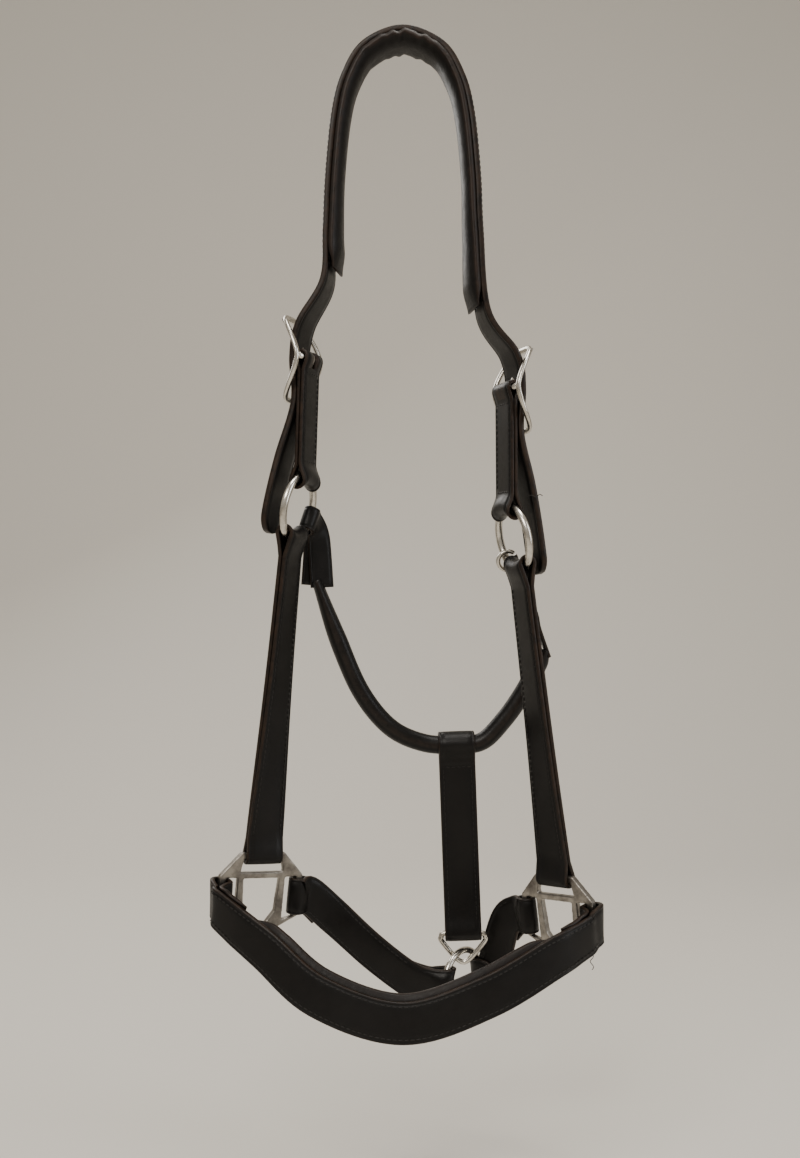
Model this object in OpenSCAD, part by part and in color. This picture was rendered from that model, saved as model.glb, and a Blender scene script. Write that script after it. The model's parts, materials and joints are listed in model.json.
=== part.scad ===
// Leather headcollar, hanging by its padded crown. Millimetres, +Z up.
// Origin: middle of the crown's underside, where a hook carries it.
// -Y is the front (the noseband side), +X is on the right seen from the front.

/* [Straps] */
// Width of every flat strap
strap_w = 25; // [24:1:26]
// Thickness of a single strap
strap_t = 4; // [3.5:0.5:4.5]
// Thickness of a doubled, stitched strap
double_t = 6; // [5:0.5:7]
// Leather left round a bar inside a stitched loop
loop_t = 2.4; // [2:0.2:2.6]

/* [Padding] */
// Width of the padded crown lining
pad_w = 31; // [28:1:33]
// Thickness of the crown lining
pad_t = 8; // [6:1:9]
// Diameter of the rolled noseband lining
nose_roll_d = 9; // [7:1:10]

/* [Metal] */
// Radius of a cheek ring, to the middle of its wire
ring_r = 21.5; // [20:0.5:22]
// Wire diameter of the rings
ring_wire = 5; // [4.5:0.5:5]
// Radius of the lead ring under the chin, to the middle of its wire
lead_r = 20; // [18:0.5:21]
// Bar diameter of the buckles
buckle_bar = 4; // [3.5:0.5:4]
// Half length of a buckle frame along the strap
buckle_half = 27; // [25:1:28]
// Thickness of the halter squares
square_t = 4.5; // [4:0.5:5]

/* [Throatlatch] */
// Diameter of the rolled throatlatch
roll_d = 12.5; // [11:0.5:13]

/* [Hidden] */
$fn = 48;
gap = 0.9;                 // running clearance between leather and metal
ring_gap = 1.4;            // the same, where leather bends round a ring
leather = "#1d1a19";
lining = "#26211f";
nickel = "silver";
cast = "gray";
LEFT = 0;
RIGHT = 1;
SIGN = [-1, 1];
BACK = [0, 1, 0];
UP = [0, 0, 1];

// Centres of the hardware, measured outwards from the middle, left then right
buckle_at = [[62, 0, -203], [68, 0, -223]];
ring_at = [[69, 0, -301], [73, 0, -321]];
square_at = [[93, 4, -531], [101, 4, -546]];
ring_lean = 12;            // the rings hang with their lower edge outwards
side_yaw = 20;             // front edge of buckles, rings and chapes turned outwards
square_yaw = [64, 46];     // the squares lie nearly face-on

lead_at = [41, 36, -624];  // centre of the lead ring
link_at = [41.6, 36, -592];
roll_low = [37, 38, -462.5]; // lowest stretch of the throatlatch, where the jowl strap hangs

// ---- geometry helpers ----
function unit(v) = v / norm(v);
function across(w, t) = unit(w - (w * t) * t);

// Catmull-Rom point between b and c
function spline(a, b, c, d, t) = 0.5 * (2 * b + (c - a) * t
    + (2 * a - 5 * b + 4 * c - d) * t * t + (3 * b - a - 3 * c + d) * t * t * t);

// Smooth row of points through the list p, n steps to each span
function smooth(p, n) = [
    for (i = [0 : len(p) - 2], k = [0 : n - 1])
        spline(p[max(i - 1, 0)], p[i], p[i + 1], p[min(i + 2, len(p) - 1)], k / n),
    p[len(p) - 1]];

function heading(p, i) = unit(p[min(i + 1, len(p) - 1)] - p[max(i - 1, 0)]);

// A solid through equal rings of points
module skin(rings) {
    n = len(rings[0]);
    m = len(rings);
    sides = [for (i = [0 : m - 2], j = [0 : n - 1], h = [0, 1])
        h == 0 ? [i * n + j, (i + 1) * n + j, i * n + (j + 1) % n]
               : [i * n + (j + 1) % n, (i + 1) * n + j, (i + 1) * n + (j + 1) % n]];
    ends = [[for (j = [0 : n - 1]) j], [for (j = [n - 1 : -1 : 0]) (m - 1) * n + j]];
    polyhedron([for (r = rings, q = r) q], concat(sides, ends));
}

// Strap section with broken corners, w wide and t thick
function flat_section(w, t) = let (c = min(1, t / 3), a = w / 2, b = t / 2)
    [[a, b - c], [a - c, b], [-a + c, b], [-a, b - c],
     [-a, -b + c], [-a + c, -b], [a - c, -b], [a, -b + c]];

function round_section(d, n) = [for (k = [0 : n - 1]) d / 2 * [cos(360 * k / n), sin(360 * k / n)]];

// Sweep of a section along p; wide[i] is the section's first direction at point i
module sweep(p, wide, section) {
    skin([for (i = [0 : len(p) - 1]) let (t = heading(p, i), w = across(wide[i], t), n = cross(t, w))
        [for (s = section) p[i] + s[0] * w + s[1] * n]]);
}

// Flat strap along control points that carry their own width direction
module strap(route, wide, w, t, n = 6) {
    sweep(smooth(route, n), smooth(wide, n), flat_section(w, t));
}

// Turned width direction: front edge outwards by yaw, on the given side
function turned(side, yaw) = [-SIGN[side] * sin(yaw), cos(yaw), 0];

// Puts a part drawn for the right side in place on either side.
// Local x points outwards, y to the back, z up the strap.
module place(side, at, yaw, lean = 0) {
    mirror([side == LEFT ? 1 : 0, 0, 0])
        translate(at) rotate([0, -lean, 0]) rotate([0, 0, yaw]) children();
}

// The same placing, for a point
function placed(side, at, yaw, lean, p) = let (
    q = [p[0] * cos(yaw) - p[1] * sin(yaw), p[0] * sin(yaw) + p[1] * cos(yaw), p[2]],
    r = [q[0] * cos(lean) - q[2] * sin(lean), q[1], q[0] * sin(lean) + q[2] * cos(lean)])
    [SIGN[side] * (at[0] + r[0]), at[1] + r[1], at[2] + r[2]];

// Extrudes an outline drawn in local x and z across the strap's width
module across_strap(w = strap_w) {
    translate([0, w / 2, 0]) rotate([90, 0, 0]) linear_extrude(w) children();
}

module slot2d(r, length) {
    hull() {
        circle(r, $fn = 32);
        translate([0, -length]) circle(r, $fn = 32);
    }
}

module wire_ring(r, wire) {
    rotate([0, 90, 0]) rotate_extrude() translate([r, 0]) circle(wire / 2);
}

// ---- crown ----
// Middle of the crown strap, left billet tip to right billet tip
lining_gap = 0.7;          // between the strap and the padding stitched under it
crown_steps = 4;
billet_out = 6.6;          // the billet lies this far outside the buckle's middle bar
function crown_side(side) = let (b = buckle_at[side], s = SIGN[side]) [
    [s * (b[0] + billet_out), 2.6, b[2]],
    [s * (b[0] + 2.6), 1, b[2] + 22],
    [s * (50 + (b[0] - 62) / 2), 0, b[2] + 50],
    [s * 49.5, 0, -120],
    [s * 48.5, 0, -84],
    [s * 44.5, 0, -44],
    [s * 38, 0, -19],
    [s * 25, 0, 1]];
left_billet = [[-88, -2, -318], [-85, -1, -298], [-78, 1, -268], [-67.6, 2.2, -232]];
right_billet = [[90, 6, -345], [86, 5, -315], [80.5, 2, -285], [73.3, 2.2, -252]];
crown_top = [0, 0, pad_t + lining_gap + strap_t / 2];
function flip(v) = [for (i = [len(v) - 1 : -1 : 0]) v[i]];
crown_route = concat(left_billet, crown_side(LEFT), [crown_top],
    flip(crown_side(RIGHT)), flip(right_billet));
function side_turns(side) = [for (a = [side_yaw, side_yaw, 12, 4, 0, 0, 0, 0]) turned(side, a)];
crown_wide = concat([for (k = [0 : 3]) turned(LEFT, side_yaw)], side_turns(LEFT), [BACK],
    flip(side_turns(RIGHT)), [for (k = [0 : 3]) turned(RIGHT, side_yaw)]);

frame_bow = 13.5;          // how far the frame's ends stand out from its middle bar
frame_half_w = 18.5;       // half the length of the middle bar
tongue_r = 1.6;
tongue_knee = [3.9, 0, 5];
tongue_tip = [frame_bow + 5, 0, buckle_half + 1];
tongue_lean = atan2(tongue_tip[0] - tongue_knee[0], tongue_tip[2] - tongue_knee[2]);
module tongue_hole(side) {
    place(side, buckle_at[side], side_yaw)
        translate(tongue_knee) rotate([0, tongue_lean, 0]) cylinder(h = 24, r = tongue_r + 1.1, center = true);
}

module crown_strap() {
    color(leather) difference() {
        strap(crown_route, crown_wide, strap_w, strap_t, crown_steps);
        tongue_hole(LEFT);
        tongue_hole(RIGHT);
    }
}

// The lining follows the underside of the strap between two of its points
lining_from = 6 * crown_steps + 1;
lining_to = 18 * crown_steps + 2;
module crown_lining() {
    p = smooth(crown_route, crown_steps);
    off = strap_t / 2 + lining_gap + pad_t / 2;
    route = [for (i = [lining_from : lining_to]) let (t = heading(p, i)) p[i] + off * [t[2], 0, -t[0]]];
    wide = smooth(crown_wide, crown_steps);
    color(lining) sweep(route, [for (i = [lining_from : lining_to]) wide[i]], flat_section(pad_w, pad_t));
}

// ---- buckles ----
function frame_loop(n) = [for (k = [0 : n - 1]) let (a = 360 * k / n)
    [frame_bow * pow(abs(sin(a)), 1.5), frame_half_w * sign(cos(a)) * pow(abs(cos(a)), 0.6),
        buckle_half * sin(a)]];

module buckle_frame(side) {
    color(nickel) place(side, buckle_at[side], side_yaw) {
        skin_loop(frame_loop(40), buckle_bar, [1, 0, 0]);
        rotate([90, 0, 0]) cylinder(h = 2 * frame_half_w, r = buckle_bar / 2, center = true);
    }
}

// Closed round bar along a loop of points; side is a direction well off the loop's own
module skin_loop(loop, d, side) {
    n = len(loop);
    m = 12;
    rings = [for (i = [0 : n - 1]) let (t = unit(loop[(i + 1) % n] - loop[(i + n - 1) % n]),
        w = across(side, t), v = cross(t, w))
        [for (s = round_section(d, m)) loop[i] + s[0] * w + s[1] * v]];
    faces = [for (i = [0 : n - 1], j = [0 : m - 1], h = [0, 1]) let (i2 = (i + 1) % n, j2 = (j + 1) % m)
        h == 0 ? [i * m + j, i2 * m + j, i * m + j2] : [i * m + j2, i2 * m + j, i2 * m + j2]];
    polyhedron([for (r = rings, q = r) q], faces);
}

module buckle_tongue(side) {
    eye = buckle_bar / 2 + 0.1;
    color(cast) place(side, buckle_at[side], side_yaw) difference() {
        union() {
            rotate([90, 0, 0]) cylinder(h = 4.4, r = eye + 1.8, center = true);
            sweep([[2.6, 0, 1], tongue_knee, (tongue_knee + tongue_tip) / 2, tongue_tip, tongue_tip + [0.5, 0, 1]],
                [for (k = [0 : 4]) BACK], round_section(2 * tongue_r, 8));
        }
        rotate([90, 0, 0]) cylinder(h = 10, r = eye, center = true);
    }
}

// ---- chapes: doubled straps from buckle bar to cheek ring ----
function ring_top(side) = ring_at[side] + ring_r * [-sin(ring_lean), 0, cos(ring_lean)];
function ring_foot(side) = ring_at[side] + ring_r * [sin(ring_lean), 0, -cos(ring_lean)];
ring_sag = 4.9;            // how far the ring curves away within the strap's width

module chape(side) {
    drop = buckle_at[side][2] - ring_top(side)[2];
    shift = ring_top(side)[0] - buckle_at[side][0];
    bar_r = buckle_bar / 2 + 0.6;
    wire_r = ring_wire / 2 + ring_gap;
    color(leather) place(side, buckle_at[side], side_yaw, atan(shift / drop)) difference() {
        across_strap() difference() {
            union() {
                circle(bar_r + loop_t);
                translate([-double_t / 2, -drop]) square([double_t, drop]);
                translate([0, -drop]) slot2d(wire_r + loop_t, ring_sag);
            }
            circle(bar_r);
            translate([0, -drop]) slot2d(wire_r, ring_sag);
        }
        translate([-12, -3.4, -7]) cube([24, 6.8, 17]);
    }
}

module cheek_ring(side) {
    color(nickel) place(side, ring_at[side], side_yaw, ring_lean) wire_ring(ring_r, ring_wire);
}

// ---- cheekpieces: doubled straps from cheek ring to square ----
cheek_neck = 14;           // from the ring's lowest point to the plain strap
function cheek_lean(side) = let (a = ring_foot(side), b = square_at[side])
    atan((b[0] - a[0]) / (a[2] - b[2]));
module cheekpiece(side) {
    a = ring_foot(side);
    b = square_at[side];
    wire_r = ring_wire / 2 + ring_gap;
    lean = cheek_lean(side);
    top = placed(side, a, side_yaw, lean, [0, 0, -cheek_neck + 6]);
    low = placed(side, b, square_yaw[side], lean, [0, 0, 8]);
    yaws = [side_yaw, side_yaw + 2, side_yaw + 8, side_yaw + 16, square_yaw[side] - 9, square_yaw[side]];
    color(leather) {
        place(side, a, side_yaw, lean) across_strap() difference() {
            union() {
                translate([0, ring_sag]) slot2d(wire_r + loop_t, ring_sag);
                translate([-double_t / 2, -cheek_neck]) square([double_t, cheek_neck - 3]);
            }
            translate([0, ring_sag]) slot2d(wire_r, ring_sag);
        }
        strap([for (k = [0 : 5]) top + (low - top) * k / 5], [for (y = yaws) turned(side, y)],
            strap_w, double_t, 4);
        place(side, b, square_yaw[side], lean) across_strap() difference() {
            union() {
                translate([0, -0.5]) circle(square_t / 2 + 1.4 + loop_t);
                translate([-double_t / 2, 2]) square([double_t, 12]);
            }
            translate([0, -0.5]) circle(square_t / 2 + 1.4);
        }
    }
}

// ---- halter squares ----
square_half = 29;          // half the square's width, front to back
bar = 4.5;                 // width of its side bars
module square_outline() {
    polygon([[-15, 2], [15, 2], [square_half, -13], [square_half, -40], [10, -50],
        [-10, -50], [-square_half, -40], [-square_half, -13]]);
}
module square_openings() {
    polygon([[-13.2, -2.5], [13.2, -2.5], [15, -11], [-15, -11]]);
    polygon([[-12.5, -15], [12.5, -15], [11, -37], [5, -45], [-5, -45], [-11, -37]]);
    for (m = [-1, 1]) scale([m, 1])
        polygon([[16.5, -14.5], [square_half - bar, -14.5], [square_half - bar, -41], [16.5, -43]]);
}
module halter_square(side) {
    color(cast) place(side, square_at[side], square_yaw[side], cheek_lean(side))
        rotate([90, 0, 90]) translate([0, 0, -square_t / 2]) linear_extrude(square_t) difference() {
            offset(r = 2) offset(delta = -2) square_outline();
            square_openings();
        }
}

// ---- noseband and chin straps ----
// A point of the square, y across it (front is negative) and z down it
function on_square(side, y, z, x = 0) =
    placed(side, square_at[side], square_yaw[side], cheek_lean(side), [x, y, z]);
bar_mid = square_half - bar / 2;
wrap_in = bar / 2 + 1.5;   // inside of a loop round a side bar
wrap_z = -27.5;            // middle of the side bars
wrap_h = strap_w - 1;

// Loop of leather round a side bar; edge is -1 at the front bar and 1 at the back bar
module bar_wrap(side, edge) {
    place(side, square_at[side], square_yaw[side], cheek_lean(side))
        translate([0, edge * bar_mid, wrap_z - wrap_h / 2]) linear_extrude(wrap_h) difference() {
            union() {
                circle(wrap_in + loop_t);
                children();
            }
            circle(wrap_in);
        }
}

nose_front = [0, -66, -617];
function nose_side(side) = [
    on_square(side, -bar_mid - 5.7, wrap_z - 1, -5),
    on_square(side, -bar_mid - 5.5, wrap_z - 4, -15),
    [SIGN[side] * (square_at[side][0] - 6), -44, square_at[side][2] - 44],
    [SIGN[side] * 52, -60, -603]];
nose_route = concat(nose_side(LEFT), [nose_front], flip(nose_side(RIGHT)));
nose_tilt = [UP, UP, [0, 0.15, 1], [0, 0.15, 1]];
nose_wide = concat(nose_tilt, [[0, 0.15, 1]], flip(nose_tilt));

module noseband_strap() {
    color(leather) {
        strap(nose_route, nose_wide, strap_w, strap_t, 8);
        for (side = [LEFT, RIGHT]) bar_wrap(side, -1) translate([-6.5, -8]) square([6.5, 6]);
    }
}

function inward(q) = q + [0, 7.9, 2.5];
nose_lining_route = [for (q = [nose_side(LEFT)[2], nose_side(LEFT)[3], nose_front,
    nose_side(RIGHT)[3], nose_side(RIGHT)[2]]) inward(q)];
module noseband_lining() {
    color(lining) sweep(smooth(nose_lining_route, 8), [for (k = [0 : 32]) UP],
        round_section(nose_roll_d, 16));
}

// ---- chin: lead ring, link and the two halves of the rear noseband ----
lead_wire = 4.5;
lead_turn = 50;            // turn of the lead ring's plane from face-on
ring_sag_lead = 4.6;       // how far the lead ring curves away within the strap's width
function lead_dir(side) = SIGN[side] * [cos(lead_turn), sin(lead_turn), 0];

module lead_ring() {
    color(nickel) translate(lead_at) rotate([0, 0, lead_turn + 90]) wire_ring(lead_r, lead_wire);
}

// Fold of a chin strap round the side of the lead ring
module lead_fold(side) {
    wire_r = lead_wire / 2 + gap;
    translate(lead_at - [0, 0, wrap_h / 2]) rotate([0, 0, lead_turn + (side == LEFT ? 180 : 0)])
        linear_extrude(wrap_h) difference() {
            union() {
                translate([lead_r, 0]) rotate(-90) slot2d(wire_r + loop_t, ring_sag_lead);
                translate([lead_r, 0]) rotate(tail_turn[side] - lead_turn - (side == LEFT ? 180 : 0))
                    translate([wire_r + 0.5, -strap_t / 2 - 0.4]) square([8, strap_t + 0.8]);
            }
            translate([lead_r, 0]) rotate(-90) slot2d(wire_r, ring_sag_lead);
        }
}

tail_turn = [175, -44];    // direction in which each strap leaves its fold, seen from above
function chin_start(side) = on_square(side, bar_mid + 9.3, wrap_z, 0);
function chin_end(side) = let (f = lead_at + lead_r * lead_dir(side),
    d = [cos(tail_turn[side]), sin(tail_turn[side]), 0])
    side == LEFT ? [f + 18 * d + [0, 0, 3], f + 8 * d] : [f + 14 * d + [0, 0, 7], f + 9.5 * d + [0, 0, 1]];
left_chin_route = concat([chin_start(LEFT), [-46, 27, -579], [-20, 25, -602]], chin_end(LEFT));
right_chin_route = concat([chin_start(RIGHT), [70, 36, -586]], chin_end(RIGHT));

module chin_strap(side, route) {
    color(leather) {
        strap(route, [for (q = route) UP], wrap_h - 1, strap_t, 3);
        bar_wrap(side, 1) translate([-strap_t / 2 - 0.4, 3]) square([strap_t + 0.8, 7]);
        lead_fold(side);
    }
}

link_half = 13;            // half the link's straight bar
link_drop = 18.5;            // from the bar to the link's apex
link_wire = 4;
link_corners = [[-link_half, -0.2], [0, 0], [link_half, -0.2], [link_half + 2.2, -2.6], [link_half + 1.5, -6],
    [3.5, -link_drop], [-3.5, -link_drop], [-link_half - 1.5, -6], [-link_half - 2.2, -2.6]];
function closed(p, n) = let (m = len(p)) [for (i = [0 : m - 1], k = [0 : n - 1])
    spline(p[(i + m - 1) % m], p[i], p[(i + 1) % m], p[(i + 2) % m], k / n)];
module jowl_link() {
    color(nickel) translate(link_at)
        skin_loop([for (q = closed(link_corners, 4)) [q[0], 0, q[1]]], link_wire, BACK);
}

// ---- jowl strap: from the throatlatch down to the link ----
module jowl_strap() {
    v = link_at - roll_low;
    roll_hole = roll_d / 2 + ring_gap;
    bar_hole = link_wire / 2 + gap;
    drop = norm(v);
    color(leather) translate(roll_low) rotate([0, -atan(v[0] / drop), 0]) rotate([atan(-v[1] / v[2]), 0, 0])
        translate([-strap_w / 2, 0, 0]) rotate([90, 0, 90]) linear_extrude(strap_w) difference() {
            union() {
                circle(roll_hole + loop_t);
                translate([-double_t / 2, -drop]) square([double_t, drop]);
                translate([0, -drop]) circle(bar_hole + loop_t);
            }
            circle(roll_hole);
            translate([0, -drop]) circle(bar_hole);
        }
}

// ---- throatlatch: rolled leather with a tab at each end ----
left_tab_turn = 76;        // place of the left tab round its cheek ring, from the lowest point
snap_turn = 50;            // place of the snap round the right cheek ring
tab_w = 12;
function round_ring(side, turn, out) = let (r = ring_r + out)
    placed(side, ring_at[side], side_yaw, ring_lean, [0, r * sin(turn), -r * cos(turn)]);
function ring_tangent(side, turn) =
    unit(round_ring(side, turn + 1, 0) - round_ring(side, turn - 1, 0));

roll_route = [[-59, 30, -349], [-45, 31, -388], [-29, 33, -425], [-9, 36, -450], [14, 37.5, -461], roll_low,
    [55, 38, -460], [70, 38, -445], [82, 38, -428], [92, 38, -410], [98, 38, -397]];
module throat_roll() {
    route = smooth(roll_route, 4);
    color(leather) sweep(route, [for (q = route) BACK], round_section(roll_d, 12));
}

module left_throat_tab() {
    wire_r = ring_wire / 2 + ring_gap;
    sag = 1.4;
    a = round_ring(LEFT, left_tab_turn, 8);
    color(leather) {
        place(LEFT, ring_at[LEFT], side_yaw, ring_lean) rotate([left_tab_turn, 0, 0])
            translate([0, 0, -ring_r]) across_strap(tab_w) difference() {
                union() {
                    translate([0, sag]) slot2d(wire_r + loop_t, sag);
                    translate([-double_t / 2, -10]) square([double_t, 7]);
                }
                translate([0, sag]) slot2d(wire_r, sag);
            }
        strap([a, round_ring(LEFT, left_tab_turn, 15) + [0, 0, -3], [-63, 34, -330], roll_route[0] + [-0.5, 0, -1]],
            [for (k = [0 : 3]) ring_tangent(LEFT, left_tab_turn) * (3 - k) / 3 + [0.6, 1, 0] * k / 3],
            tab_w, double_t, 5);
    }
}

// ---- snap that closes the throatlatch on the right cheek ring ----
snap_top = round_ring(RIGHT, snap_turn, 0);
snap_foot = [93, 33, -383];
snap_len = 34;             // from the ring's wire to the middle of the snap's eye
hook_r = 6.5;
hook_wire = 3;
eye_r = 7;
eye_wire = 2.8;
module on_snap() {
    z = unit(snap_top - snap_foot);
    y = across(ring_tangent(RIGHT, snap_turn), z);
    x = cross(y, z);
    multmatrix([[x[0], y[0], z[0], snap_top[0]], [x[1], y[1], z[1], snap_top[1]],
        [x[2], y[2], z[2], snap_top[2]], [0, 0, 0, 1]]) children();
}
gate_low = -50;            // the gate's arc, in degrees round the hook
gate_high = 15;
module hook_arc(from, to, wire) {
    rotate([90, 0, 0]) rotate([0, 0, from]) rotate_extrude(angle = to - from)
        translate([hook_r, 0]) circle(wire / 2, $fn = 24);
}
module snap_body() {
    color(nickel) on_snap() difference() {
        union() {
            hook_arc(gate_high + 12, 275, hook_wire);
            translate([0, 0, -24]) cylinder(h = 15.5, r = 3.6);
            translate([0, 0, -9.5]) cylinder(h = 4, r1 = 3.6, r2 = 2.2);
            translate([0, 0, -snap_len]) wire_ring(eye_r, eye_wire);
            translate([0, 0, -27]) cylinder(h = 4, r = 2.6);
            translate([1.6, -2.6, -11]) cube([5.4, 5.2, 4.4]);
        }
        translate([1.4, -1.35, -9.6]) cube([8, 2.7, 5.4]);
        translate([gate_pin[0], 0, gate_pin[1]]) rotate([90, 0, 0]) cylinder(h = 20, r = 0.75, center = true);
    }
}
gate_pin = [4.6, -7.4];
module snap_gate() {
    color(cast) on_snap() difference() {
        union() {
            hook_arc(gate_low, gate_high, 2.2);
            translate([gate_pin[0], 1.1, gate_pin[1]]) rotate([90, 0, 0]) cylinder(h = 2.2, r = 1.5);
            translate([gate_pin[0] - 0.9, -1.1, gate_pin[1]]) cube([1.8, 2.2, 2.6]);
        }
        translate([gate_pin[0], 0, gate_pin[1]]) rotate([90, 0, 0]) cylinder(h = 20, r = 0.8, center = true);
    }
}
module snap_pin() {
    color(cast) on_snap() translate([gate_pin[0], 0, gate_pin[1]]) rotate([90, 0, 0])
        cylinder(h = 5.4, r = 0.75, center = true);
}

module right_throat_tab() {
    wire_r = eye_wire / 2 + ring_gap;
    sag = 3;
    d = unit(snap_foot - snap_top);
    a = snap_top + d * (snap_len + eye_r + 7);
    color(leather) {
        on_snap() translate([0, 0, -snap_len - eye_r]) across_strap(10) difference() {
            union() {
                translate([0, sag]) slot2d(wire_r + loop_t, sag);
                translate([-double_t / 2, -9]) square([double_t, 6]);
            }
            translate([0, sag]) slot2d(wire_r, sag);
        }
        strap([a, a + d * 4, roll_route[10] + [0.5, 0, 3], roll_route[10] - [1, 0, 3]],
            [for (k = [0 : 3]) BACK], 12, double_t, 4);
    }
}

crown_strap();
crown_lining();
buckle_frame(LEFT);  // left_buckle_frame
buckle_frame(RIGHT);  // right_buckle_frame
buckle_tongue(LEFT);  // left_buckle_tongue
buckle_tongue(RIGHT);  // right_buckle_tongue
chape(LEFT);  // left_chape
chape(RIGHT);  // right_chape
cheek_ring(LEFT);  // left_cheek_ring
cheek_ring(RIGHT);  // right_cheek_ring
cheekpiece(LEFT);  // left_cheekpiece
cheekpiece(RIGHT);  // right_cheekpiece
halter_square(LEFT);  // left_square
halter_square(RIGHT);  // right_square
noseband_strap();
noseband_lining();
chin_strap(LEFT, left_chin_route);  // left_chin_strap
chin_strap(RIGHT, right_chin_route);  // right_chin_strap
lead_ring();
jowl_link();
jowl_strap();
throat_roll();
left_throat_tab();
right_throat_tab();
snap_body();
snap_gate();
snap_pin();
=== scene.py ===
"""Leather headcollar hanging by its crown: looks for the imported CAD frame."""
import bpy
import json
import math
import random
from mathutils import Matrix, Vector


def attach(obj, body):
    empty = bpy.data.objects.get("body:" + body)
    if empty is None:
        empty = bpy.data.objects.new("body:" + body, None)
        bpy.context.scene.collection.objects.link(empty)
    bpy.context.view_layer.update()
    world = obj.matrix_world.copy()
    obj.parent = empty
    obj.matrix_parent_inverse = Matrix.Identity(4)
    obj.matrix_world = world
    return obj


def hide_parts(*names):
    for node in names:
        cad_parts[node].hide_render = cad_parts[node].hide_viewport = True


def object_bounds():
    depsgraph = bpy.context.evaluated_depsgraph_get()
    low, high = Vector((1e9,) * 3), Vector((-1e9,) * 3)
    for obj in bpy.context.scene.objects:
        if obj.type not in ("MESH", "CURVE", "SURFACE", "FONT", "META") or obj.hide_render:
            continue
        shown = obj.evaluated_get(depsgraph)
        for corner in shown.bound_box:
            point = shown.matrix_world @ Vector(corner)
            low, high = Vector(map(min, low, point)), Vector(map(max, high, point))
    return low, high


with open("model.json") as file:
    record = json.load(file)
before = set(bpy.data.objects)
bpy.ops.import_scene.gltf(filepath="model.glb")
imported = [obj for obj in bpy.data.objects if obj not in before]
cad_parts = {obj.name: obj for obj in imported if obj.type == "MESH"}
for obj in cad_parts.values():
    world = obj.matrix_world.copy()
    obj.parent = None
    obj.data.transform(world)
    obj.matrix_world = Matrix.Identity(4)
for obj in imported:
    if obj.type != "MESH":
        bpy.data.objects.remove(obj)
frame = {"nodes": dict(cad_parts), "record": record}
CAD_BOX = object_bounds()

MM = 0.001
LEFT, RIGHT = 0, 1
SIGN = (-1, 1)
UP = Vector((0, 0, 1))
BACK = Vector((0, 1, 0))

# Sizes of the real parts, in metres
STRAP_W = 25 * MM
STRAP_T = 4 * MM
CHAPE_LAYER = 2.4 * MM           # one layer of leather of a doubled strap
CHEEK_LAYER = 2.8 * MM
JOWL_LAYER = 2.7 * MM
LAYER_GAP = 0.12 * MM            # from the middle of a doubled strap to either layer
CROWN_PAD_W = 31 * MM
CROWN_PAD_T = 8 * MM
RING_R = 21.5 * MM
RING_WIRE = 5 * MM
RING_CLEAR = 1.3 * MM            # from a ring's wire to the fold round it
LEAD_R = 20 * MM
LEAD_WIRE = 4.5 * MM
BUCKLE_BAR = 4 * MM
BUCKLE_HALF = 27 * MM
BUCKLE_HALF_W = 18.5 * MM
BUCKLE_BOW = 13.5 * MM
FRAME_WIRE = 3.2 * MM
FRAME_WIDE = 1.35                # how much wider the frame's wire is than thick
BILLET_OUT = 6.6 * MM            # from the buckle's bar out to the billet
SQUARE_T = 4.5 * MM
SQUARE_HALF = 29 * MM
SQUARE_BAR = 4.5 * MM
ROLL_D = 12.5 * MM
STITCH_STEP = 3.6 * MM
STITCH_D = 0.75 * MM
STITCH_IN = 3 * MM               # from a strap's edge in to its stitches
STITCH_LIFT = 0.1 * MM           # from the leather's face out to the thread's middle

# Turns of the real parts, in degrees
RING_LEAN = 12
SIDE_YAW = 20
SQUARE_YAW = (64, 46)            # left, right
LEAD_TURN = 50


# ---- places, taken from the frame ----
def joint_at(name):
    """Where a joint of the record turns."""
    for joint in frame["record"]["behaviour"]["joints"]:
        if joint["name"] == name:
            return Vector(joint["pos_m"])
    raise ValueError(name)


def mount_at(name):
    """Where a mount of the record lies."""
    for mount in frame["record"]["mounts"]:
        if mount["name"] == name:
            return Vector(mount["pos_m"])
    raise ValueError(name)


BUCKLE = [joint_at("left_buckle_rock"), joint_at("right_buckle_rock")]
RING = [joint_at("left_ring_turn"), joint_at("right_ring_turn")]
LEAD = mount_at("lead_ring_eye")
ROLL_LOW = joint_at("jowl_swing")
LINK = joint_at("link_swing")


def mm(x, y, z):
    """A point of the frame given in millimetres."""
    return Vector((x, y, z)) * MM


SQUARE = [mm(-93, 4, -531), mm(101, 4, -546)]


# ---- vector helpers ----
def across(wide, along):
    """wide made square to along, of length 1."""
    return (wide - wide.dot(along) * along).normalized()


def spline(a, b, c, d, t):
    """Catmull-Rom point between b and c."""
    return 0.5 * (2 * b + (c - a) * t + (2 * a - 5 * b + 4 * c - d) * t * t
                  + (3 * b - a - 3 * c + d) * t * t * t)


def smooth(points, steps, closed=False):
    """A smooth row of points through the ones given."""
    n = len(points)
    row = []
    for i in range(n if closed else n - 1):
        if closed:
            a, b, c, d = (points[(i + k) % n] for k in (-1, 0, 1, 2))
        else:
            a, b = points[max(i - 1, 0)], points[i]
            c, d = points[i + 1], points[min(i + 2, n - 1)]
        row += [spline(a, b, c, d, k / steps) for k in range(steps)]
    return row if closed else row + [points[-1].copy()]


def headings(points, closed=False):
    """Direction of travel at each point."""
    n = len(points)
    if closed:
        return [(points[(i + 1) % n] - points[i - 1]).normalized() for i in range(n)]
    return [(points[min(i + 1, n - 1)] - points[max(i - 1, 0)]).normalized() for i in range(n)]


def distances(path):
    """Distance along a path at each of its points."""
    far = [0.0]
    for a, b in zip(path, path[1:]):
        far.append(far[-1] + (b - a).length)
    return far


def turned(side, yaw):
    """Width direction of a strap whose front edge is turned outwards by yaw degrees."""
    a = math.radians(yaw)
    return Vector((-SIGN[side] * math.sin(a), math.cos(a), 0))


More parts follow.
